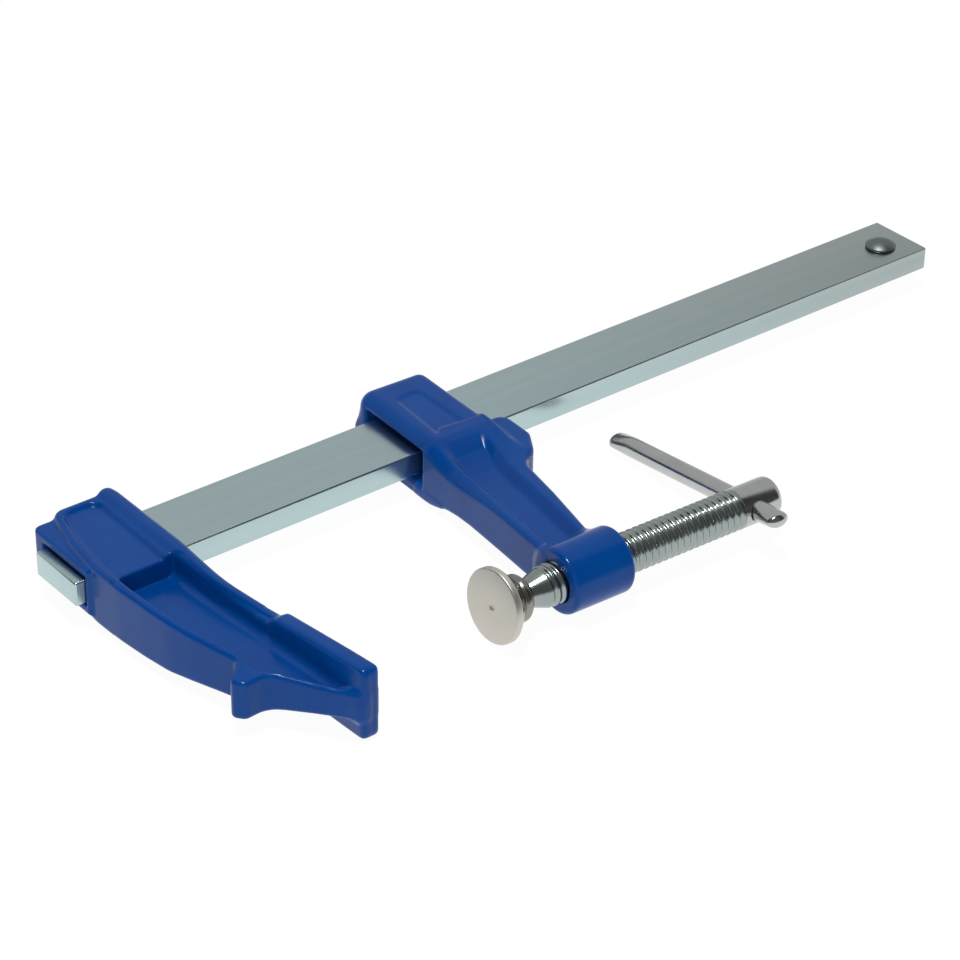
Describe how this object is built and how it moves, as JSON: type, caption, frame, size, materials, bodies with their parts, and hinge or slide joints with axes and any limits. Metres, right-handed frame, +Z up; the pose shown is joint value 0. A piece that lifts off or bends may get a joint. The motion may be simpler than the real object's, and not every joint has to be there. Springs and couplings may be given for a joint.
{
  "type": "quick release bar clamp",
  "caption": "Quick release bar clamp: flat steel rail, blue cast fixed arm, cast arm that slides on the rail, and a screw spindle with swivel pad and tommy bar.",
  "frame": {"origin": "on the fixed jaw's face, level with the spindle and in the rail's middle plane", "axes": "+X along the rail to its free end, +Y from the jaws to the rail, +Z up from the face the clamp lies on"},
  "size_m": [0.4265, 0.1601, 0.0302],
  "materials": {
    "zinc_bar": "zinc plated, drawn surface with faint streaks",
    "rivet_steel": "zinc plated",
    "blue_enamel": "glossy deep blue enamel on cast iron",
    "bright_zinc": "bright zinc on turned steel",
    "satin_pad": "satin grey, lightly turned",
    "spring_steel": "dark spring steel"
  },
  "bodies": {
    "rail": {"rail": "zinc_bar", "fixed_arm": "blue_enamel", "end_stop": "rivet_steel"},
    "sliding_arm": {"sliding_arm": "blue_enamel"},
    "retaining_ring": {"retaining_ring": "spring_steel"},
    "spindle": {"spindle": "bright_zinc"},
    "tommy_bar": {"tommy_bar": "bright_zinc"},
    "swivel_pad": {"swivel_pad": "satin_pad"}
  },
  "joints": [
    {"name": "arm_slide", "type": "slide", "parent": "rail", "child": "sliding_arm", "axis": [1, 0, 0], "range_m": [-0.022, 0.222]},
    {"name": "spindle_feed", "type": "slide", "parent": "sliding_arm", "child": "retaining_ring", "axis": [-0.9991, 0.0417, 0], "range_m": [-0.0125, 0.037]},
    {"name": "spindle_turn", "type": "hinge", "parent": "retaining_ring", "child": "spindle", "pos_m": [0.11941, 0.0001, 0], "axis": [-0.9991, 0.0417, 0], "range_deg": [-1495, 4430]},
    {"name": "pad_tilt", "type": "hinge", "parent": "retaining_ring", "child": "swivel_pad", "pos_m": [0.074, 0.00199, 0], "axis": [0.0417, 0.9991, 0], "range_deg": [-12.5, 1.5]},
    {"name": "tommy_slide", "type": "slide", "parent": "spindle", "child": "tommy_bar", "axis": [-0.0413, -0.9899, 0.1357], "range_m": [0, 0.0589]}
  ],
  "couplings": [
    {"joint": "spindle_feed", "follows": "spindle_turn", "m_per_rad": 0.00047746}
  ]
}
